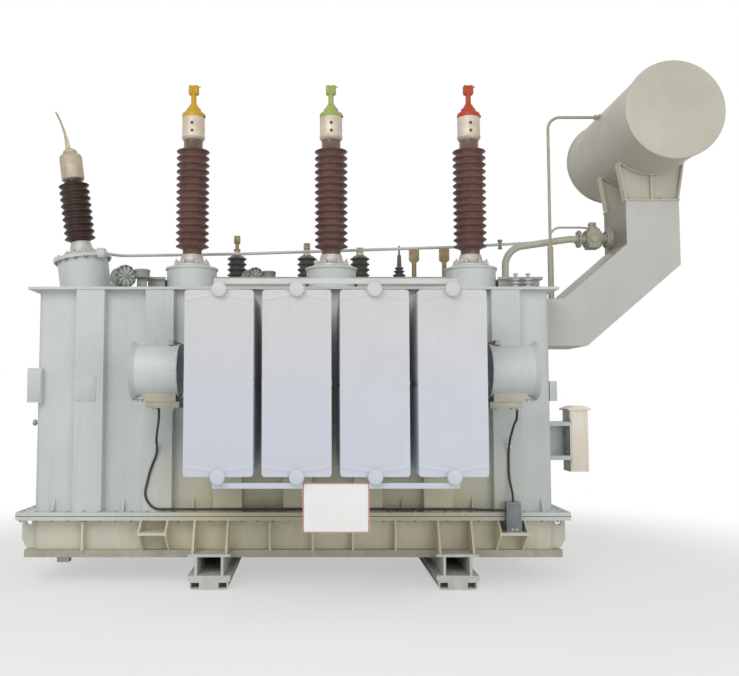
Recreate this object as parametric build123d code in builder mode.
from build123d import *
import os
from math import cos, radians, sin, sqrt, tan

os.makedirs("parts", exist_ok=True)

# An oil-filled power transformer, in millimetres. X runs along the tank, -Y is the high-voltage front
# with the radiators nearest the viewer, +Z is up. The origin is on the ground under the middle phase,
# in the centre of the foundation bolts.

# Heights, stacked from the ground
skid_height = 230
base_thick = 62
lower_height = 258
flange_thick = 34
bell_height = 1922
cover_thick = 22
raised_height = 104
raised_lid = 22

# Tank plan, measured from the middle phase
tank_left = 2592
tank_right = 1915
tank_depth = 1450
tank_corner = 60
plate_corner = 12
tank_wall = 10
base_ledge = 60
flange_side = 117
flange_front = 130
cover_side = 67
cover_front = 100

# Folded box ribs of the bell tank
rib_count = 7
rib_pitch = 604
rib_inset = 480
rib_width = 246
rib_taper = 12
rib_depth = 90

# Flat stiffeners, lugs and gussets of the lower tank
web_thick = 18
web_depth = 95
web_spots = (-2144, -538, -172, 172, 538)
lug_x = 1522
lug_width = 244
lug_depth = 245
lug_shelf_z = 440
lug_shelf_thick = 24
haul_out = 118
haul_cut = (40, 75)
haul_hole_out = 58
haul_hole_down = 39
haul_hole_r = 25
haul_thick = 30
gusset_thick = 14
gusset_depth = 70
gusset_high = 120

# Skids
skid_x = 1036
skid_over = 275
skid_width = 354
skid_pad_thick = 22
skid_web_gap = 220
skid_web_thick = 22
shoe_plate_thick = 43
shoe_thick = 75
shoe_width = 326
shoe_core = 134
shoe_pocket_depth = 150
shoe_pocket_wall = 14
shoe_chamfer = 26
anchor_inset = 150
anchor_r = 18

# Raised part of the cover
raised_left_inset = 923
raised_right_inset = 25
raised_front_inset = 205
raised_rear_inset = 125
raised_overhang = 25
turret_gap = 16

# Lower and upper edge of a porcelain shed, as shares of the pitch
shed_lip = (0.44, 0.56)

# High-voltage bushings
phase_pitch = 1285
hv_inset = 315
turret_r = 228
turret_rim_r = 240
turret_rim = 26
turret_height = 228
hv_foot_r = 150
hv_foot_thick = 24
hv_neck_r = 93
hv_neck_height = 95
hv_core_r = 88
hv_shed_r = 153
hv_valley_r = 118
hv_lower_plain = 46
hv_upper_plain = 94.5
hv_shed_pitch = 63.7
hv_sheds = 15
hv_head_r = 105
hv_head_height = 229
hv_dome_height = 39
hv_collar_r = 60
hv_collar_height = 67
hv_stem_r = 26
hv_stem_height = 86
hv_clamp = 88

# Neutral bushing, leaning over the left end
neutral_inset = 297
neutral_tilt = 7.8
neutral_flange_r = 260
neutral_flange_thick = 30
neutral_height = 293
neutral_foot_r = 150
neutral_neck_r = 80
neutral_neck_height = 147
neutral_core_r = 84
neutral_shed_r = 139
neutral_valley_r = 114
neutral_sheds = 9
neutral_shed_pitch = 62.4
neutral_head_r = 103
neutral_head_height = 250
neutral_head_round = 34
neutral_nut_r = 60
neutral_nut_height = 56
strap_width = 48
strap_tip = 18
strap_thick = 10
strap_rise = 345
strap_foot = 110
strap_lean = 6

# Low-voltage bushings and earthing terminals on the raised cover
lv_inset = 275
lv_spots = (-946, -230, 313)
lv_flange_r = 112
lv_flange_thick = 20
lv_core_r = 66
lv_shed_r = 101
lv_sheds = 6
lv_shed_pitch = 56
lv_cap_r = 36
lv_cap_height = 52
lv_stud_r = 26
lv_stud_heights = (140, 86, 40)
earth_x = 716
earth_r = 56
earth_shed_r = 68
earth_height = 260
earth_rod_r = 12
earth_rod = 205
flag_spots = (869, 1178)
flag_width = 104
flag_thick = 16
flag_high = 150
flag_stem_r = 24
flag_stem = 190
flag_cone_r = 62
flag_cone = 100

# Relief valves on the cover
relief_r = 88
relief_long = 150
relief_rim = 12
relief_rise = 106
relief_turn = 40
drum_r = 69
drum_high = 74
drum_leg = 26
drum_leg_gap = 46
drum_rise = 103
drum_reach = 216
relief_front_inset = (675, 105)
relief_rear_x = -830
relief_rear_inset = 405

# Gooseneck bracket and conservator
neck_half_depth = 300
neck_shelf = 264
neck_drop = 20
neck_wall_height = 441
neck_foot_run = 472
cons_out = 1112
cons_rise = 1570
cons_r = 432
cons_wall = 8
cons_half_length = 850
cons_end_thick = 16
cons_rim = 12
leg_half = 250
leg_base_rise = 472
leg_top_rise = 884
leg_heel_rise = 279
saddle_half_top = 312
saddle_thick = 22
saddle_pad = 10
saddle_pad_width = 120
saddle_y = 255
saddle_flange = 18
saddle_flange_depth = 45
saddle_rib_depth = 45

# Pipework on the cover
relay_y = 150
relay_pipe_r = 34
relay_riser_inset = 180
relay_knee_rise = 508
relay_rise = 603
relay_bend = 200
relay_level_run = 90
relay_valve_r = 86
relay_valve_plate = 18
relay_valve_long = 90
relay_body_long = 110
relay_body_high = 190
relay_body_wide = 150
relay_dome_r = 52
relay_dome = 42
relay_seat_r = 108
relay_seat = 29
gas_pipe_r = 14
gas_start_out = (105, 160)
gas_riser = 60
gas_turn_inset = 532
gas_rises = (437, 456, 526, 571)
gas_runs = (-891, 1260, 2060)
gas_bends = (40, 120, 900, 900)
vent_out = 227
vent_r = 28
vent_height = 552
vent_thin_r = 14
vent_top_rise = 1787
vent_bend = 50
bypass_r = 10
bypass_rise = 690
bypass_climb = 40
bypass_bend = 30
pipe_fit = 40

# Radiators, four on each long side
rad_pitch = 585
rad_per_side = 4
fin_width = 520
fin_thick = 10
fin_pitch = 45
fin_count = 20
header_r = 45
header_top_drop = 135
header_low_rise = 387
header_cap_r = 56
header_cap = 14
header_out = 26
header_flange_r = 90
header_flange = 16
header_stub = 30
valve_long = 130
tie_high = 41
tie_thick = 12
tie_over = 44
sign_width = 492
sign_high = 364
sign_thick = 3

# Cooling fans beside the radiators
fan_drop = 735
fan_r = 206
fan_skin = 6
fan_long = 372
fan_gap = 90
fan_flare = 40
fan_flare_out = 32
fan_lip = 10
fan_hub_r = 58
fan_hub_long = 90
fan_tip_gap = 12
fan_blades = 6
fan_blade_thick = 5
fan_blade_chord = 96
fan_root_pitch = 58
fan_tip_pitch = 28
motor_r = 82
motor_long = 150
motor_arm = 20
fan_bar = 38
fan_bar_inset = 70
fan_bar_over = 60
cradle_long = 216
cradle_half = 110
cradle_taper = 34

# Boxes at the two ends
cab_width = 172
cab_depth = 230
cab_high = 580
cab_rise = 282
cab_reach = 345
cab_hood = 42
cab_brim = 10
cab_hood_over = 26
cab_back = 12
cab_arm = 40
cab_arm_inset = 110
end_box_out = 62
end_box_front = 65
end_box_width = 124
end_box_side = 130
end_box_high = 300
end_box_rise = 934
right_box = (62, 140, 175)
right_box_inset = 95
right_box_rise = 948
junction = (120, 96, 250)
junction_clear = 12

# Small valves
valve_flange_r = 50
valve_flange = 12
valve_r = 32
valve_body = 58
valve_stem_r = 11
valve_stem = 34
valve_wheel_r = 42
valve_wheel = 12
cover_valve_insets = (275, 165)
cover_valve_edge = 65
sample_inset = 165
sample_rise = 756
drain_inset = (262, 35)
drain_box = (105, 80, 52)

# Fan leads
lead_r = 10
lead_clear = 3
lead_lift = 14
lead_clip_rise = 562
lead_outs = (98, 156)
lead_drop = 135
lead_swing = 190
lead_rise = 200
lead_slack = 60
lead_bow = 110
lead_share = 0.45
lead_lean = 0.35

# Worked-out levels
base_z = skid_height
lower_z = base_z + base_thick
lower_flange_z = lower_z + lower_height
bell_flange_z = lower_flange_z + flange_thick
bell_z = bell_flange_z + flange_thick
cover_z = bell_z + bell_height
cover_top = cover_z + cover_thick
raised_z = cover_top + raised_height
raised_top = raised_z + raised_lid
tank_length = tank_left + tank_right
tank_mid = (tank_right - tank_left) / 2
wall_front = -tank_depth / 2
rib_front = wall_front - rib_depth
wall_rear = tank_depth / 2
skid_half_length = wall_rear + skid_over
anchor_y = skid_half_length - anchor_inset
rib_first = rib_inset - tank_left
rib_spots = [rib_first + rib_pitch * i for i in range(rib_count)]
raised_left = raised_left_inset - tank_left
raised_right = tank_right - raised_right_inset
raised_front = wall_front + raised_front_inset
raised_rear = wall_rear - raised_rear_inset
phases = (-phase_pitch, 0, phase_pitch)
phase_names = ("left", "centre", "right")
hv_y = wall_front + hv_inset
lv_y = wall_rear - lv_inset
hv_turret_top = cover_top + turret_height
neck_top = cover_z - neck_drop
cons_x = tank_right + cons_out
cons_z = cover_top + cons_rise
neck_left = cons_x - leg_half
neck_right = cons_x + leg_half
leg_top_z = cover_top + leg_top_rise
relay_z = cover_top + relay_rise
relay_end_x = neck_left - relay_seat
relay_body_x = relay_end_x - relay_valve_long - relay_body_long
relay_x = relay_body_x - relay_valve_long
vent_x = tank_right + vent_out
vent_top_z = cover_top + vent_top_rise
header_back = valve_long - rib_front
fin_back = header_back + header_stub
fin_front = fin_back + (fin_count - 1) * fin_pitch
header_top_z = cover_z - header_top_drop
header_low_z = bell_z + header_low_rise
rad_first = -rad_pitch * (rad_per_side - 1) / 2
rad_spots = [rad_first + rad_pitch * i for i in range(rad_per_side)]
rad_half = rad_pitch * (rad_per_side - 1) / 2 + fin_width / 2
fan_y = -(fin_front + fin_back) / 2
fan_z = cover_z - fan_drop
cab_low_z = bell_z + cab_rise
end_box_z = bell_z + end_box_rise
right_box_z = bell_z + right_box_rise
sides = (("front", 1), ("rear", -1))


def save(builder, name):
    builder.part.label = name
    export_step(builder.part, f"parts/{name}.step")


def block(low, high, mode=Mode.ADD):
    # A box between two corners
    middle = [(a + b) / 2 for a, b in zip(low, high)]
    size = [abs(b - a) for a, b in zip(low, high)]
    with Locations(tuple(middle)):
        Box(*size, mode=mode)


def tank_sheet(low_z, high_z, out_x, out_y, corner, hollow):
    # A plate or ring that follows the tank's plan, out_x and out_y beyond its walls
    with BuildPart() as sheet:
        with BuildSketch(Plane.XY.offset(low_z)):
            with Locations((tank_mid, 0)):
                RectangleRounded(tank_length + 2 * out_x, tank_depth + 2 * out_y, corner)
                if hollow:
                    RectangleRounded(
                        tank_length - 2 * tank_wall,
                        tank_depth - 2 * tank_wall,
                        tank_corner - tank_wall,
                        mode=Mode.SUBTRACT,
                    )
        extrude(amount=high_z - low_z)
    return sheet


def axis_plane(base, tilt=0.0):
    # A sketch plane through a bushing's axis: its own X is the radius and its own Y the axis
    lean = radians(tilt)
    return Plane(origin=base, x_dir=(cos(lean), 0, sin(lean)), z_dir=(0, -1, 0))


def along(base, tilt, distance):
    lean = radians(tilt)
    return (base[0] - sin(lean) * distance, base[1], base[2] + cos(lean) * distance)


def turned(profile, bases, tilt=0.0):
    # One revolved solid of the (radius, height) profile on each base point
    with BuildPart() as solid:
        for base in bases:
            plane = axis_plane(base, tilt)
            with BuildSketch(plane):
                with BuildLine():
                    Polyline((0, profile[0][1]), *profile, (0, profile[-1][1]), close=True)
                make_face()
            revolve(axis=Axis(base, tuple(plane.y_dir)))
    return solid


def shed_profile(core, valley, rim, count, pitch, below, above):
    # A porcelain body: a plain neck, sheds that slope down and under to a lip, and a plain neck
    points = [(core, 0), (core, below)]
    for i in range(count):
        foot = below + pitch * i
        points += [(rim, foot + lip * pitch) for lip in shed_lip]
        points.append((valley, foot + pitch))
    points[-1] = (core, below + pitch * count)
    if above:
        points.append((core, below + pitch * count + above))
    return points


def cut_round_shell():
    # Trims a pipe to the outside of the conservator
    with Locations(Location((cons_x, 0, cons_z), (90, 0, 0))):
        Cylinder(cons_r, 2 * cons_half_length, mode=Mode.SUBTRACT)


# Skids: a shoe on the ground, two webs under the tank and a raised pad at each end
shoe_top = shoe_thick + shoe_plate_thick
pad_low = lower_z - skid_pad_thick
raised_from = tank_depth / 2 + base_ledge
pocket_low = shoe_core / 2 + shoe_pocket_wall
pocket_high = shoe_width / 2 - shoe_pocket_wall
for side_name, skid_side in (("left", -1), ("right", 1)):
    centre_x = skid_side * skid_x
    with BuildPart() as skid:
        with BuildSketch(Plane.XZ.offset(-skid_half_length)):
            with Locations((centre_x, shoe_thick / 2)):
                Rectangle(shoe_width, shoe_thick)
        extrude(amount=2 * skid_half_length)
        chamfer(skid.edges().filter_by(Axis.Y).group_by(Axis.Z)[0], shoe_chamfer)
        block(
            (centre_x - skid_width / 2, -skid_half_length, shoe_thick),
            (centre_x + skid_width / 2, skid_half_length, shoe_top),
        )
        for hand in (-1, 1):
            web_low = centre_x + hand * skid_web_gap / 2 - skid_web_thick / 2
            with BuildSketch(Plane.YZ.offset(web_low)):
                with BuildLine():
                    Polyline(
                        (-skid_half_length, shoe_top),
                        (skid_half_length, shoe_top),
                        (skid_half_length, pad_low),
                        (raised_from, pad_low),
                        (raised_from, base_z),
                        (-raised_from, base_z),
                        (-raised_from, pad_low),
                        (-skid_half_length, pad_low),
                        close=True,
                    )
                make_face()
            extrude(amount=skid_web_thick)
            block(
                (centre_x - skid_width / 2, hand * raised_from, pad_low),
                (centre_x + skid_width / 2, hand * skid_half_length, lower_z),
            )
            for end in (-1, 1):
                block(
                    (centre_x + hand * pocket_low, end * skid_half_length, shoe_pocket_wall),
                    (
                        centre_x + hand * pocket_high,
                        end * (skid_half_length - shoe_pocket_depth),
                        shoe_thick - shoe_pocket_wall,
                    ),
                    mode=Mode.SUBTRACT,
                )
        with Locations((centre_x, anchor_y, shoe_top), (centre_x, -anchor_y, shoe_top)):
            Hole(anchor_r, depth=shoe_top)
    save(skid, f"skid_{side_name}")

# Base plate, lower tank, the two bolted flanges, the bell and its cover
save(tank_sheet(base_z, lower_z, base_ledge, base_ledge, plate_corner, False), "base_plate")
save(tank_sheet(lower_z, lower_flange_z, 0, 0, tank_corner, True), "lower_tank")
save(
    tank_sheet(lower_flange_z, bell_flange_z, flange_side, flange_front, plate_corner, True),
    "lower_flange",
)
save(tank_sheet(bell_flange_z, bell_z, flange_side, flange_front, plate_corner, True), "bell_flange")
save(tank_sheet(bell_z, cover_z, 0, 0, tank_corner, True), "bell_tank")
save(tank_sheet(cover_z, cover_top, cover_side, cover_front, plate_corner, False), "cover_plate")

# Box ribs folded from sheet, on both long walls
with BuildPart() as bell_ribs:
    with BuildSketch(Plane.XY.offset(bell_z)):
        for x in rib_spots:
            with BuildLine():
                Polyline(
                    (x - rib_width / 2 - rib_taper, wall_front),
                    (x - rib_width / 2, rib_front),
                    (x + rib_width / 2, rib_front),
                    (x + rib_width / 2 + rib_taper, wall_front),
                    close=True,
                )
            make_face()
    extrude(amount=bell_height)
    mirror(about=Plane.XZ)
save(bell_ribs, "bell_ribs")

# Triangular gussets between the ribs, on the bell flange
gusset_spots = [rib_first + rib_pitch * (i - 0.5) for i in range(rib_count + 1)]
with BuildPart() as flange_gussets:
    for x in gusset_spots:
        with BuildSketch(Plane.YZ.offset(x - gusset_thick / 2)):
            with BuildLine():
                Polyline(
                    (wall_front, bell_z),
                    (wall_front - gusset_depth, bell_z),
                    (wall_front, bell_z + gusset_high),
                    close=True,
                )
            make_face()
        extrude(amount=gusset_thick)
    mirror(about=Plane.XZ)
save(flange_gussets, "flange_gussets")

# Stiffeners of the lower tank: plain webs, and deeper ones that stand on the skid pads
with BuildPart() as lower_ribs:
    for x in web_spots:
        block(
            (x - web_thick / 2, wall_front - web_depth, lower_z),
            (x + web_thick / 2, wall_front, lower_flange_z),
        )
    for centre_x in (-skid_x, skid_x):
        for hand in (-1, 1):
            x = centre_x + hand * (skid_width / 2 - 2 * web_thick)
            with BuildSketch(Plane.YZ.offset(x - web_thick / 2)):
                with BuildLine():
                    Polyline(
                        (wall_front, lower_z),
                        (-skid_half_length + skid_pad_thick, lower_z),
                        (-skid_half_length + skid_pad_thick, lower_z + skid_pad_thick),
                        (wall_front - flange_front, lower_flange_z),
                        (wall_front, lower_flange_z),
                        close=True,
                    )
                make_face()
            extrude(amount=web_thick)
    mirror(about=Plane.XZ)
save(lower_ribs, "lower_tank_ribs")

# Jacking lugs: a shelf between two webs, near the four corners
with BuildPart() as jacking_lugs:
    for centre_x in (-lug_x, lug_x):
        for hand in (-1, 1):
            x = centre_x + hand * (lug_width - web_thick) / 2
            with BuildSketch(Plane.YZ.offset(x - web_thick / 2)):
                with BuildLine():
                    Polyline(
                        (wall_front, lower_z),
                        (wall_front - base_ledge, lower_z),
                        (wall_front - lug_depth, lug_shelf_z),
                        (wall_front - lug_depth, lug_shelf_z + lug_shelf_thick),
                        (wall_front - flange_front, lower_flange_z),
                        (wall_front, lower_flange_z),
                        close=True,
                    )
                make_face()
            extrude(amount=web_thick)
        block(
            (centre_x - lug_width / 2, wall_front - lug_depth, lug_shelf_z),
            (centre_x + lug_width / 2, wall_front, lug_shelf_z + lug_shelf_thick),
        )
    mirror(about=Plane.XZ)
save(jacking_lugs, "jacking_lugs")

# Haulage lugs: holed plates in line with the long walls, under the flange at each corner
with BuildPart() as haulage_lugs:
    for wall_x, hand in ((-tank_left, -1), (tank_right, 1)):
        with BuildSketch(Plane.XZ.offset(-wall_front - tank_corner - haul_thick)):
            with BuildLine():
                Polyline(
                    (wall_x, lower_flange_z),
                    (wall_x + hand * haul_out, lower_flange_z),
                    (wall_x + hand * haul_out, lower_z + haul_cut[1]),
                    (wall_x + hand * (haul_out - haul_cut[0]), lower_z),
                    (wall_x, lower_z),
                    close=True,
                )
            make_face()
            with Locations((wall_x + hand * haul_hole_out, lower_flange_z - haul_hole_down)):
                Circle(haul_hole_r, mode=Mode.SUBTRACT)
        extrude(amount=haul_thick)
    mirror(about=Plane.XZ)
save(haulage_lugs, "haulage_lugs")

# Raised part of the cover, cut round for the high-voltage turrets
with BuildPart() as raised_cover:
    block((raised_left, raised_front, cover_top), (raised_right, raised_rear, raised_z))
    block(
        (raised_left - raised_overhang, raised_front - raised_overhang, raised_z),
        (raised_right + raised_overhang, raised_rear + raised_overhang, raised_top),
    )
    with Locations(*[(x, hv_y, (cover_top + raised_top) / 2) for x in phases]):
        Cylinder(turret_rim_r + turret_gap, raised_top - cover_top, mode=Mode.SUBTRACT)
save(raised_cover, "raised_cover")

# High-voltage bushings, from the turret up to the clamp
hv_bases = [(x, hv_y, cover_top) for x in phases]
turret_profile = [
    (turret_r, 0),
    (turret_r, turret_height - turret_rim),
    (turret_rim_r, turret_height - turret_rim),
    (turret_rim_r, turret_height - turret_rim / 3),
    (turret_rim_r - turret_rim, turret_height),
]
save(turned(turret_profile, hv_bases), "hv_turrets")

hv_neck_z = hv_turret_top + hv_foot_thick + hv_neck_height
hv_foot_profile = [
    (hv_foot_r, 0),
    (hv_foot_r, hv_foot_thick),
    (hv_neck_r, hv_foot_thick),
    (hv_neck_r, hv_foot_thick + hv_neck_height),
]
save(turned(hv_foot_profile, [(x, hv_y, hv_turret_top) for x in phases]), "hv_feet")

hv_porcelain_height = hv_lower_plain + hv_sheds * hv_shed_pitch + hv_upper_plain
hv_shed_stack = shed_profile(
    hv_core_r, hv_valley_r, hv_shed_r, hv_sheds, hv_shed_pitch, hv_lower_plain, hv_upper_plain
)
hv_head_z = hv_neck_z + hv_porcelain_height
hv_head_profile = [(hv_head_r, 0), (hv_head_r, hv_head_height)]
hv_terminal_z = hv_head_z + hv_head_height
hv_stem_z = hv_dome_height + hv_collar_height
hv_terminal_profile = [
    (hv_head_r, 0),
    (hv_head_r - hv_dome_height / 3, hv_dome_height * 0.7),
    (hv_collar_r, hv_dome_height),
    (hv_collar_r, hv_stem_z - hv_collar_height / 3),
    (hv_stem_r, hv_stem_z),
    (hv_stem_r, hv_stem_z + hv_stem_height),
]
save(turned(hv_shed_stack, [(x, hv_y, hv_neck_z) for x in phases]), "hv_porcelains")
save(turned(hv_head_profile, [(x, hv_y, hv_head_z) for x in phases]), "hv_heads")
for x, phase in zip(phases, phase_names):
    stem = turned(hv_terminal_profile, [(x, hv_y, hv_terminal_z)])
    with BuildPart() as terminal:
        add(stem.part)
        clamp_z = hv_terminal_z + hv_stem_z + hv_stem_height
        block(
            (x - hv_clamp / 2, hv_y - hv_clamp / 3, clamp_z),
            (x + hv_clamp / 2, hv_y + hv_clamp / 3, clamp_z + hv_clamp),
        )
        chamfer(terminal.faces().sort_by(Axis.Z)[-1].edges(), hv_clamp / 12)
    save(terminal, f"hv_terminal_{phase}")

# Neutral bushing: a leaning turret cut off level on the cover, its flange and a bushing in line with it
neutral_centre = (neutral_inset - tank_left, hv_y, cover_top + neutral_height)
neutral_top = along(neutral_centre, neutral_tilt, neutral_flange_thick)
flange_plane = Plane(
    origin=neutral_centre,
    x_dir=(cos(radians(neutral_tilt)), 0, sin(radians(neutral_tilt))),
    z_dir=(-sin(radians(neutral_tilt)), 0, cos(radians(neutral_tilt))),
)
with BuildPart() as neutral_turret:
    with BuildSketch(flange_plane):
        Circle(turret_r)
    extrude(amount=-neutral_height - turret_r)
    split(bisect_by=Plane.XY.offset(cover_top), keep=Keep.TOP)
    with BuildSketch(flange_plane):
        Circle(neutral_flange_r)
    extrude(amount=neutral_flange_thick)
save(neutral_turret, "neutral_turret")

neutral_foot_profile = [
    (neutral_foot_r, 0),
    (neutral_foot_r, hv_foot_thick),
    (neutral_neck_r + hv_foot_thick, hv_foot_thick),
    (neutral_neck_r, neutral_neck_height),
]
save(turned(neutral_foot_profile, [neutral_top], neutral_tilt), "neutral_foot")
neutral_stack = shed_profile(
    neutral_core_r,
    neutral_valley_r,
    neutral_shed_r,
    neutral_sheds,
    neutral_shed_pitch,
    0,
    neutral_core_r / 4,
)
neutral_stack_base = along(neutral_top, neutral_tilt, neutral_neck_height)
save(turned(neutral_stack[1:], [neutral_stack_base], neutral_tilt), "neutral_porcelain")
neutral_head_base = along(neutral_stack_base, neutral_tilt, neutral_stack[-1][1])
neutral_head_profile = [
    (neutral_head_r - neutral_head_round / 2, 0),
    (neutral_head_r, neutral_head_round / 2),
    (neutral_head_r, neutral_head_height - neutral_head_round),
    (neutral_head_r - neutral_head_round, neutral_head_height),
    (neutral_nut_r, neutral_head_height),
    (neutral_nut_r, neutral_head_height + neutral_nut_height),
]
save(turned(neutral_head_profile, [neutral_head_base], neutral_tilt), "neutral_head")
strap_base = along(neutral_head_base, neutral_tilt, neutral_head_height + neutral_nut_height)
strap_shift = -strap_rise * sin(radians(strap_lean))
with BuildPart() as neutral_strap:
    with BuildSketch(axis_plane(strap_base, neutral_tilt)):
        with BuildLine():
            Polyline(
                (-strap_width / 2, 0),
                (-strap_width / 2, strap_foot),
                (strap_shift - strap_tip / 2, strap_rise),
                (strap_shift + strap_tip / 2, strap_rise),
                (strap_width / 2, strap_foot),
                (strap_width / 2, 0),
                close=True,
            )
        make_face()
    extrude(amount=strap_thick / 2, both=True)
save(neutral_strap, "neutral_strap")

# Low-voltage bushings behind, on the raised cover
lv_bases = [(x, lv_y, raised_top) for x in lv_spots]
lv_stack = shed_profile(lv_core_r, lv_core_r, lv_shed_r, lv_sheds, lv_shed_pitch, lv_flange_thick, 0)
lv_profile = [(lv_flange_r, 0), (lv_flange_r, lv_flange_thick), *lv_stack[1:]]
save(turned(lv_profile, lv_bases), "lv_porcelains")
lv_cap_z = raised_top + lv_stack[-1][1]
lv_cap_profile = [(lv_cap_r, 0), (lv_cap_r, lv_cap_height / 2), (lv_stud_r, lv_cap_height)]
lv_studs = []
for x, stud in zip(lv_spots, lv_stud_heights):
    stud_profile = [*lv_cap_profile, (lv_stud_r, lv_cap_height + stud)]
    lv_studs.append(turned(stud_profile, [(x, lv_y, lv_cap_z)]).part)
with BuildPart() as lv_terminals:
    add(lv_studs)
save(lv_terminals, "lv_terminals")

earth_profile = [
    (earth_r, 0),
    (earth_r, earth_height / 4),
    (earth_shed_r, earth_height * 0.32),
    (earth_r * 0.7, earth_height * 0.5),
    (earth_r, earth_height * 0.62),
    (earth_rod_r * 2, earth_height),
]
earth_body = turned(earth_profile, [(earth_x, lv_y, raised_top)])
with BuildPart() as earthing_bushing:
    add(earth_body.part)
    with Locations((earth_x, lv_y, raised_top + earth_height + earth_rod / 2)):
        Cylinder(earth_rod_r, earth_rod)
save(earthing_bushing, "earthing_bushing")

stem_top = flag_cone + flag_stem
cone_profile = [(flag_cone_r, 0), (flag_cone_r, flag_cone / 2), (flag_stem_r, flag_cone)]
flag_stems = turned([*cone_profile, (flag_stem_r, stem_top)], [(x, lv_y, raised_top) for x in flag_spots])
with BuildPart() as flag_terminals:
    add(flag_stems.part)
    for x in flag_spots:
        with BuildSketch(Plane.XZ.offset(-lv_y - flag_thick / 2)):
            with BuildLine():
                Polyline(
                    (x - flag_stem_r, raised_top + stem_top),
                    (x + flag_stem_r, raised_top + stem_top),
                    (x + flag_width / 2, raised_top + stem_top + flag_stem_r),
                    (x + flag_width / 2, raised_top + stem_top + flag_high),
                    (x - flag_width / 2, raised_top + stem_top + flag_high),
                    (x - flag_width / 2, raised_top + stem_top + flag_stem_r),
                    close=True,
                )
            make_face()
        extrude(amount=flag_thick)
save(flag_terminals, "flag_terminals")

# Relief valves: a flanged body lying on the cover with a switch drum on legs beside it
relief_facing = (sin(radians(relief_turn)), -cos(radians(relief_turn)), 0)
with BuildPart() as relief_valves:
    for x, y, seat in (
        (relief_front_inset[0] - tank_left, wall_front + relief_front_inset[1], cover_top),
        (relief_rear_x, wall_rear - relief_rear_inset, raised_top),
    ):
        body_plane = Plane(origin=(x, y, seat + relief_rise), z_dir=relief_facing)
        with BuildSketch(body_plane):
            Circle(relief_r)
        extrude(amount=relief_long)
        with BuildSketch(body_plane.offset(relief_long - relief_rim)):
            Circle(relief_r + relief_rim)
        extrude(amount=relief_rim)
        block((x - relief_r / 2, y - relief_long / 2, seat), (x + relief_r / 2, y, seat + relief_rise))
        drum_x = x + drum_reach
        for leg in (-1, 1):
            leg_x = drum_x + leg * drum_leg_gap / 2
            block((leg_x - drum_leg / 2, y - drum_leg, seat), (leg_x + drum_leg / 2, y, seat + drum_rise))
        with BuildSketch(Plane.XY.offset(seat + drum_rise)):
            with Locations((drum_x, y - drum_leg / 2)):
                Circle(drum_r)
        extrude(amount=drum_high)
save(relief_valves, "relief_valves")

# Gooseneck: a folded box bracket that carries the conservator off the right end wall
with BuildPart() as gooseneck:
    with BuildSketch(Plane.XZ.offset(-neck_half_depth)):
        with BuildLine():
            Polyline(
                (tank_right, neck_top),
                (tank_right + neck_shelf, neck_top),
                (neck_left, cover_top + leg_base_rise),
                (neck_left, leg_top_z),
                (neck_right, leg_top_z),
                (neck_right, cover_top + leg_heel_rise),
                (tank_right + neck_foot_run, neck_top - neck_wall_height),
                (tank_right, neck_top - neck_wall_height),
                close=True,
            )
        make_face()
    extrude(amount=2 * neck_half_depth)
save(gooseneck, "gooseneck")

# Conservator: a rolled shell with a welded end at each side
cons_axis_plane = Plane(origin=(cons_x, -cons_half_length, cons_z), z_dir=(0, 1, 0))
with BuildPart() as conservator_shell:
    with BuildSketch(cons_axis_plane):
        Circle(cons_r)
        Circle(cons_r - cons_wall, mode=Mode.SUBTRACT)
    extrude(amount=2 * cons_half_length)
save(conservator_shell, "conservator_shell")
with BuildPart() as conservator_ends:
    with BuildSketch(Plane(origin=(cons_x, -cons_half_length, cons_z), z_dir=(0, -1, 0))):
        Circle(cons_r + cons_rim)
    extrude(amount=cons_end_thick)
    chamfer(conservator_ends.edges().group_by(Axis.Y)[0], cons_rim / 2)
    mirror(about=Plane.XZ)
save(conservator_ends, "conservator_ends")

# Saddles between the gooseneck and the conservator: a plate, a wrapped pad, two edges and a rib each
pad_r = cons_r + saddle_pad
saddle_edge_z = cons_z - sqrt(pad_r**2 - saddle_half_top**2)
with BuildPart() as saddles:
    for hand in (-1, 1):
        middle_y = hand * saddle_y
        with BuildSketch(Plane.XZ.offset(-middle_y - saddle_thick / 2)):
            with BuildLine():
                Polyline(
                    (cons_x - leg_half, leg_top_z),
                    (cons_x + leg_half, leg_top_z),
                    (cons_x + saddle_half_top, saddle_edge_z),
                    (cons_x - saddle_half_top, saddle_edge_z),
                    close=True,
                )
            make_face()
            with Locations((cons_x, cons_z)):
                Circle(cons_r, mode=Mode.SUBTRACT)
        extrude(amount=saddle_thick)
        with BuildSketch(Plane.XZ.offset(-middle_y - saddle_pad_width / 2)):
            with Locations((cons_x, cons_z)):
                Circle(pad_r)
                Circle(cons_r, mode=Mode.SUBTRACT)
            with Locations((cons_x, (leg_top_z + saddle_edge_z) / 2)):
                Rectangle(2 * saddle_half_top, saddle_edge_z - leg_top_z, mode=Mode.INTERSECT)
        extrude(amount=saddle_pad_width)
        for edge in (-1, 1):
            with BuildSketch(Plane.XZ.offset(-middle_y - saddle_flange_depth)):
                with BuildLine():
                    Polyline(
                        (cons_x + edge * leg_half, leg_top_z),
                        (cons_x + edge * saddle_half_top, saddle_edge_z),
                        (cons_x + edge * (saddle_half_top - saddle_flange), saddle_edge_z),
                        (cons_x + edge * (leg_half - saddle_flange), leg_top_z),
                        close=True,
                    )
                make_face()
                with Locations((cons_x, cons_z)):
                    Circle(cons_r, mode=Mode.SUBTRACT)
            extrude(amount=2 * saddle_flange_depth)
        block(
            (cons_x - saddle_thick / 2, middle_y - saddle_rib_depth, leg_top_z),
            (cons_x + saddle_thick / 2, middle_y + saddle_rib_depth, cons_z - cons_r),
        )
save(saddles, "saddles")

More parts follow.
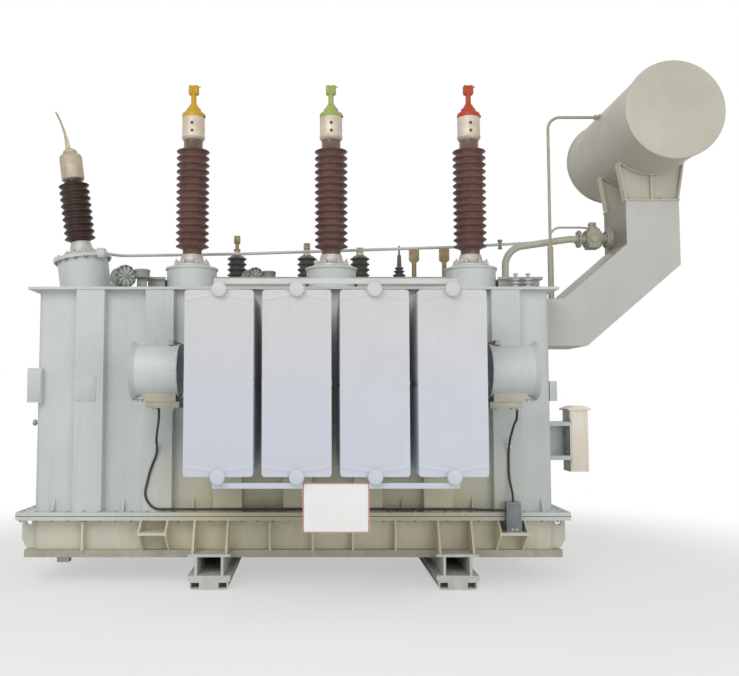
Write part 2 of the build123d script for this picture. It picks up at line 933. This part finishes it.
# Relay pipe from the cover to the gooseneck leg, with the gas relay between two valves at its end
relay_riser_x = tank_right - relay_riser_inset
with BuildPart() as relay_pipe:
    with BuildLine() as relay_route:
        FilletPolyline(
            (relay_riser_x, relay_y, raised_top),
            (relay_riser_x, relay_y, cover_top + relay_knee_rise),
            (relay_x - relay_level_run, relay_y, relay_z),
            (relay_x, relay_y, relay_z),
            radius=relay_bend,
        )
    with BuildSketch(Plane(origin=relay_route.line @ 0, z_dir=relay_route.line % 0)):
        Circle(relay_pipe_r)
    sweep()
save(relay_pipe, "relay_pipe")

with BuildPart() as gas_relay:
    for start in (relay_x, relay_end_x - relay_valve_long):
        with BuildSketch(Plane.YZ.offset(start)):
            with Locations((relay_y, relay_z)):
                Circle(relay_valve_r)
        extrude(amount=relay_valve_plate)
        with BuildSketch(Plane.YZ.offset(start + relay_valve_long - relay_valve_plate)):
            with Locations((relay_y, relay_z)):
                Circle(relay_valve_r)
        extrude(amount=relay_valve_plate)
        with BuildSketch(Plane.YZ.offset(start + relay_valve_plate)):
            with Locations((relay_y, relay_z)):
                Circle(relay_valve_r - 2 * relay_valve_plate)
        extrude(amount=relay_valve_long - 2 * relay_valve_plate)
    block(
        (relay_body_x, relay_y - relay_body_wide / 2, relay_z - relay_body_high / 2),
        (relay_body_x + relay_body_long, relay_y + relay_body_wide / 2, relay_z + relay_body_high / 2),
    )
    with BuildSketch(Plane.YZ.offset(relay_end_x)):
        with Locations((relay_y, relay_z)):
            Circle(relay_seat_r)
    extrude(amount=relay_seat)
    with BuildSketch(Plane.XY.offset(relay_z + relay_body_high / 2)):
        with Locations((relay_body_x + relay_body_long / 2, relay_y)):
            Circle(relay_dome_r)
    extrude(amount=relay_dome)
    chamfer(gas_relay.faces().sort_by(Axis.Z)[-1].edges(), relay_dome / 2)
save(gas_relay, "gas_relay")

# Gas-collecting pipe from the neutral flange to the relay pipe, sloping up all the way
gas_lean = tan(radians(neutral_tilt))
gas_x = neutral_top[0] + gas_start_out[0]
gas_y = hv_y + gas_start_out[1]
gas_low_z = neutral_top[2] + gas_start_out[0] * gas_lean
gas_levels = [cover_top + rise for rise in gas_rises]
with BuildPart() as gas_pipe:
    with BuildLine() as gas_route:
        FilletPolyline(
            (gas_x, gas_y, gas_low_z + gas_pipe_r * gas_lean),
            (gas_x, gas_y, gas_low_z + gas_riser),
            (gas_turn_inset - tank_left, relay_y, gas_levels[0]),
            (gas_runs[0], relay_y, gas_levels[1]),
            (gas_runs[1], relay_y, gas_levels[2]),
            (gas_runs[2], relay_y, gas_levels[3]),
            radius=gas_bends,
        )
    with BuildSketch(Plane(origin=gas_route.line @ 0, z_dir=gas_route.line % 0)):
        Circle(gas_pipe_r)
    sweep()
    add(relay_pipe.part, mode=Mode.SUBTRACT)
save(gas_pipe, "gas_pipe")

# Vent pipe off the gooseneck shelf into the side of the conservator, with a by-pass tube to the relay
vent_reach = cons_x - sqrt(cons_r**2 - (vent_top_z - cons_z) ** 2) + pipe_fit
vent_step_z = neck_top + vent_height
bypass_z = cover_top + bypass_rise
with BuildPart() as vent_pipe:
    with BuildLine() as vent_route:
        FilletPolyline(
            (vent_x, 0, vent_step_z),
            (vent_x, 0, vent_top_z),
            (vent_reach, 0, vent_top_z),
            radius=vent_bend,
        )
    with BuildSketch(Plane(origin=vent_route.line @ 0, z_dir=vent_route.line % 0)):
        Circle(vent_thin_r)
    sweep()
    with BuildLine() as bypass_route:
        FilletPolyline(
            (vent_x, 0, bypass_z - bypass_climb),
            (vent_x + bypass_climb, 0, bypass_z),
            (relay_x, 0, bypass_z),
            (relay_body_x + pipe_fit, relay_y - relay_body_wide / 4, bypass_z),
            radius=bypass_bend,
        )
    with BuildSketch(Plane(origin=bypass_route.line @ 0, z_dir=bypass_route.line % 0)):
        Circle(bypass_r)
    sweep()
    with Locations((vent_x, 0, neck_top + vent_height / 2)):
        Cylinder(vent_r, vent_height)
    cut_round_shell()
    add(gas_relay.part, mode=Mode.SUBTRACT)
save(vent_pipe, "vent_pipe")

# Radiators: pressed fins on two headers, with a flange at the tank end and a cap at the outer end
fin_low = header_low_z
fin_high = header_top_z
for side_name, hand in sides:
    for index, x in enumerate(rad_spots):
        with BuildPart() as radiator:
            with Locations(*[(x, -hand * (fin_front - fin_pitch * i), 0) for i in range(fin_count)]):
                with Locations((0, hand * fin_thick / 2, (fin_low + fin_high) / 2)):
                    Box(fin_width, fin_thick, fin_high - fin_low)
            for z in (header_low_z, header_top_z):
                tank_end = Plane(origin=(x, -hand * header_back, z), z_dir=(0, -hand, 0))
                with BuildSketch(tank_end):
                    Circle(header_r)
                extrude(amount=fin_front + header_out - header_back)
                with BuildSketch(tank_end):
                    Circle(header_flange_r)
                extrude(amount=header_flange)
                with BuildSketch(tank_end.offset(fin_front + header_out - header_back)):
                    Circle(header_cap_r)
                extrude(amount=header_cap)
        save(radiator, f"radiator_{side_name}_{index + 1}")

# Butterfly valves between the box ribs and the header flanges
with BuildPart() as radiator_valves:
    for x in rad_spots:
        for z in (header_low_z, header_top_z):
            valve_plane = Plane(origin=(x, rib_front, z), z_dir=(0, -1, 0))
            with BuildSketch(valve_plane):
                Circle(header_flange_r)
            extrude(amount=header_flange)
            with BuildSketch(valve_plane):
                Circle(header_r + header_flange)
            extrude(amount=valve_long)
            with BuildSketch(valve_plane.offset(valve_long - header_flange)):
                Circle(header_flange_r)
            extrude(amount=header_flange)
    mirror(about=Plane.XZ)
save(radiator_valves, "radiator_valves")

# Tie bars on top of and under the outer ends of the headers
tie_y = fin_front - fin_thick
with BuildPart() as tie_bars:
    for low_z in (header_top_z + header_r, header_low_z - header_r - tie_high):
        block(
            (rad_spots[0] - tie_over, -tie_y, low_z),
            (rad_spots[-1] + tie_over, -tie_y + tie_thick, low_z + tie_high),
        )
    mirror(about=Plane.XZ)
save(tie_bars, "tie_bars")

# Sign plate on the front of the lower tie bar
with BuildPart() as sign_plate:
    sign_top = header_low_z - header_r
    block(
        (-sign_width / 2, -tie_y - sign_thick, sign_top - sign_high),
        (sign_width / 2, -tie_y, sign_top),
    )
save(sign_plate, "sign_plate")

# Fans blowing along the radiators: a duct with a flared inlet, a motor on arms, and a bladed rotor
fan_near = rad_half + fan_gap
fan_far = fan_near + fan_long
with BuildPart() as fan_housings:
    for hand in (-1, 1):
        duct_base = (hand * fan_near, fan_y, fan_z)
        duct_plane = axis_plane(duct_base, -90 * hand)
        with BuildSketch(duct_plane):
            with BuildLine():
                Polyline(
                    (fan_r - fan_skin, 0),
                    (fan_r + fan_lip, 0),
                    (fan_r + fan_lip, fan_lip),
                    (fan_r, fan_lip),
                    (fan_r, fan_long - fan_flare),
                    (fan_r + fan_flare_out, fan_long),
                    (fan_r + fan_flare_out - fan_skin, fan_long),
                    (fan_r - fan_skin, fan_long - fan_flare),
                    close=True,
                )
            make_face()
        revolve(axis=Axis(duct_base, tuple(duct_plane.y_dir)))
    mirror(about=Plane.XZ)
save(fan_housings, "fan_housings")

motor_far = fan_far - fan_flare
motor_near = motor_far - motor_long
with BuildPart() as fan_motors:
    for hand in (-1, 1):
        motor_plane = Plane(origin=(hand * motor_near, fan_y, fan_z), z_dir=(hand, 0, 0))
        with BuildSketch(motor_plane):
            Circle(motor_r)
        extrude(amount=motor_long)
        with BuildSketch(motor_plane.offset(motor_long - motor_arm)):
            with PolarLocations(0, 4, start_angle=45):
                Rectangle(2 * (fan_r - fan_skin), motor_arm)
            Circle(fan_r - fan_skin, mode=Mode.INTERSECT)
        extrude(amount=motor_arm)
    mirror(about=Plane.XZ)
save(fan_motors, "fan_motors")

blade_tip = fan_r - fan_skin - fan_tip_gap
with BuildPart() as fan_rotors:
    for hand in (-1, 1):
        hub_plane = Plane(origin=(hand * motor_near, fan_y, fan_z), z_dir=(-hand, 0, 0))
        with BuildSketch(hub_plane):
            Circle(fan_hub_r)
        extrude(amount=fan_hub_long)
        for i in range(fan_blades):
            turn = 360 / fan_blades * i
            middle = hub_plane.offset(fan_hub_long / 2).rotated((0, 0, turn))
            for radius, pitch in ((fan_hub_r * 0.8, fan_root_pitch), (blade_tip, fan_tip_pitch)):
                origin = middle.origin + middle.x_dir * radius
                spread = Plane(origin=origin, x_dir=middle.y_dir, z_dir=middle.x_dir)
                with BuildSketch(spread.rotated((0, 0, pitch))):
                    Rectangle(fan_blade_chord, fan_blade_thick)
            loft()
    mirror(about=Plane.XZ)
save(fan_rotors, "fan_rotors")

# Bars from the tank wall above and below the ducts, with a cradle under each duct
bar_x = fan_near + fan_bar_inset
bar_reach = -fan_y + fan_bar_over
with BuildPart() as fan_brackets:
    for hand in (-1, 1):
        for up in (-1, 1):
            block(
                (hand * bar_x - fan_bar / 2, wall_front, fan_z + up * fan_r),
                (hand * bar_x + fan_bar / 2, -bar_reach, fan_z + up * (fan_r + fan_bar)),
            )
        with BuildSketch(Plane.XZ.offset(-fan_y - cradle_half)):
            with BuildLine():
                Polyline(
                    (hand * (fan_near + 2 * fan_lip), fan_z - fan_r - fan_bar),
                    (hand * (bar_x + cradle_long - cradle_taper), fan_z - fan_r - fan_bar),
                    (hand * (bar_x + cradle_long), fan_z - fan_r),
                    (hand * (bar_x + cradle_long), fan_z - fan_r + fan_bar),
                    (hand * (fan_near + 2 * fan_lip), fan_z - fan_r + fan_bar),
                    close=True,
                )
            make_face()
        extrude(amount=2 * cradle_half)
        with Locations(Location((hand * (fan_near + fan_long / 2), fan_y, fan_z), (0, 90, 0))):
            Cylinder(fan_r, fan_long, mode=Mode.SUBTRACT)
    mirror(about=Plane.XZ)
save(fan_brackets, "fan_brackets")

# Control cabinet on arms at the right end, under an arched rain hood
cab_left = tank_right + cab_reach
cab_top = cab_low_z + cab_high
with BuildPart() as control_cabinet:
    block((cab_left, -cab_depth / 2, cab_low_z), (cab_left + cab_width, cab_depth / 2, cab_top))
    with BuildSketch(Plane.XZ.offset(-cab_depth / 2 - cab_hood_over)):
        with BuildLine():
            hood_left = cab_left - cab_hood_over
            hood_right = cab_left + cab_width + cab_hood_over
            ThreePointArc(
                (hood_left, cab_top + cab_brim),
                (cab_left + cab_width / 2, cab_top + cab_hood),
                (hood_right, cab_top + cab_brim),
            )
            Polyline(
                (hood_right, cab_top + cab_brim),
                (hood_right, cab_top),
                (hood_left, cab_top),
                (hood_left, cab_top + cab_brim),
            )
        make_face()
    extrude(amount=cab_depth + 2 * cab_hood_over)
save(control_cabinet, "control_cabinet")
with BuildPart() as cabinet_arms:
    for low_z in (cab_low_z + cab_arm_inset, cab_top - cab_arm_inset - cab_arm):
        block((tank_right, -cab_depth / 2, low_z), (cab_left, -cab_depth / 2 + cab_arm, low_z + cab_arm))
        block((tank_right, cab_depth / 2 - cab_arm, low_z), (cab_left, cab_depth / 2, low_z + cab_arm))
    block(
        (tank_right, cab_depth / 2 - cab_back, cab_low_z + cab_arm_inset),
        (cab_left, cab_depth / 2, cab_top - cab_arm_inset),
    )
save(cabinet_arms, "cabinet_arms")

# Terminal boxes: round the front left corner, on the right end wall, and on a jacking lug for the fans
junction_low = lug_shelf_z + lug_shelf_thick
junction_back = wall_front - flange_front - junction_clear
with BuildPart() as terminal_boxes:
    block(
        (-tank_left - end_box_out, wall_front - end_box_front, end_box_z),
        (-tank_left - end_box_out + end_box_width, wall_front + end_box_side, end_box_z + end_box_high),
    )
    with BuildSketch(Plane.XY.offset(end_box_z)):
        with Locations((tank_mid, 0)):
            RectangleRounded(tank_length, tank_depth, tank_corner)
    extrude(amount=end_box_high, mode=Mode.SUBTRACT)
    right_box_y = wall_front + right_box_inset
    block(
        (tank_right, right_box_y - right_box[1] / 2, right_box_z),
        (tank_right + right_box[0], right_box_y + right_box[1] / 2, right_box_z + right_box[2]),
    )
    block(
        (lug_x - junction[0] / 2, junction_back - junction[1], junction_low),
        (lug_x + junction[0] / 2, junction_back, junction_low + junction[2]),
    )
save(terminal_boxes, "terminal_boxes")

# Small valves: two on the cover, a sampling valve on the left end and a drain box under the base
valve_profile = [
    (valve_flange_r, 0),
    (valve_flange_r, valve_flange),
    (valve_r, valve_flange),
    (valve_r, valve_body),
    (valve_stem_r, valve_body),
    (valve_stem_r, valve_body + valve_stem),
    (valve_wheel_r, valve_body + valve_stem),
    (valve_wheel_r, valve_body + valve_stem + valve_wheel),
]
cover_valve_y = wall_front + cover_valve_edge
cover_valves = turned(
    valve_profile, [(tank_right - inset, cover_valve_y, cover_top) for inset in cover_valve_insets]
)
sample_valve = turned(
    valve_profile, [(-tank_left, wall_front + sample_inset, bell_z + sample_rise)], 90
)
with BuildPart() as small_valves:
    add([cover_valves.part, sample_valve.part])
    with Locations((drain_inset[0] - tank_left, wall_front + drain_inset[1], base_z - drain_box[2] / 2)):
        Box(*drain_box)
save(small_valves, "small_valves")

# Fan leads out of the cradles, clipped to a box rib and laid on the flange bolts to the junction box
cradle_low = fan_z - fan_r - fan_bar
lead_left = -bar_x - lead_outs[0]
lead_right = bar_x + lead_outs[1]
lead_y = rib_front - lead_r - lead_clear
lead_z = bell_z + lead_r + lead_lift
lead_clip_z = bell_z + lead_clip_rise
rib_left = rib_spots[1]
rib_right = rib_spots[-1]
junction_middle = junction_back - junction[1] / 2
junction_top = junction_low + junction[2]
left_route = [
    (lead_left, fan_y, cradle_low),
    (lead_left, fan_y, cradle_low - lead_drop),
    (lead_left + lead_lean * (rib_left - lead_left), fan_y + lead_swing, lead_clip_z + lead_rise),
    (rib_left, lead_y - lead_slack, lead_clip_z + lead_slack),
    (rib_left, lead_y, lead_clip_z - lead_slack),
    (rib_left - lead_slack, lead_y, lead_z + lead_rise + lead_drop),
    (rib_left - lead_bow, lead_y, lead_z + lead_bow),
    (rib_left - lead_slack / 2, lead_y, lead_z),
    (lug_x - 3 * lead_bow, lead_y, lead_z),
    (lug_x - 1.5 * lead_bow, junction_middle, lead_z + lead_clear),
    (lug_x - junction[0] / 2, junction_middle, lead_z + lead_clear),
]
right_route = [
    (lead_right, fan_y, cradle_low),
    (lead_right, fan_y, cradle_low - lead_drop),
    (lead_right + lead_lean * (rib_right - lead_right), fan_y + lead_swing, lead_clip_z + lead_rise),
    (rib_right, lead_y - lead_slack, lead_clip_z + lead_slack),
    (rib_right, lead_y, lead_clip_z - lead_slack),
    (rib_right, lead_y, junction_top + lead_rise),
    (lug_x, junction_middle, junction_top + lead_slack),
    (lug_x, junction_middle, junction_top),
]
with BuildPart() as fan_leads:
    for route in (left_route, right_route):
        points = [Vector(*point) for point in route]
        runs = [end - start for start, end in zip(points, points[1:])]
        radii = []
        for before, after in zip(runs, runs[1:]):
            half_turn = radians(before.get_angle(after)) / 2
            shorter = min(before.length, after.length)
            radii.append(lead_share * shorter / tan(half_turn))
        with BuildLine() as lead_line:
            FilletPolyline(*points, radius=radii)
        with BuildSketch(Plane(origin=lead_line.line @ 0, z_dir=lead_line.line % 0)):
            Circle(lead_r)
        sweep()
save(fan_leads, "fan_leads")
